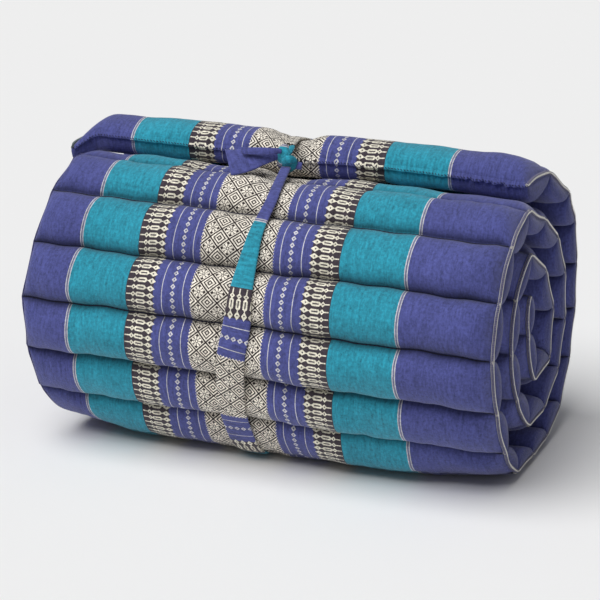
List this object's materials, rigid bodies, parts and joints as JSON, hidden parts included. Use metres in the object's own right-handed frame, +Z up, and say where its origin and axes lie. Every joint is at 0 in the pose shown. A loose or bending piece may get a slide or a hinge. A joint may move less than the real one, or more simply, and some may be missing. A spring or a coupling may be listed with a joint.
{
  "type": "thai roll-up mat",
  "caption": "Quilted Thai floor mat in blue, teal and cream patterned cotton, rolled up and tied round its middle with a ribbon of the same cloth.",
  "frame": {"origin": "middle of the footprint, on the surface that the roll rests on", "axes": "+X along the roll's axis towards the end with the wider plain blue border, -Y the front, which shows the flap's edge and the knot, +Z up"},
  "size_m": [0.5, 0.3092, 0.3125],
  "materials": {
    "mat_cloth": "matt woven cotton",
    "tie_cloth": "matt woven cotton"
  },
  "bodies": {
    "root": {"mat_roll": "mat_cloth", "tie_band": "tie_cloth", "tie_knot": "tie_cloth", "tie_end_long": "tie_cloth", "tie_end_short": "tie_cloth"}
  },
  "joints": []
}
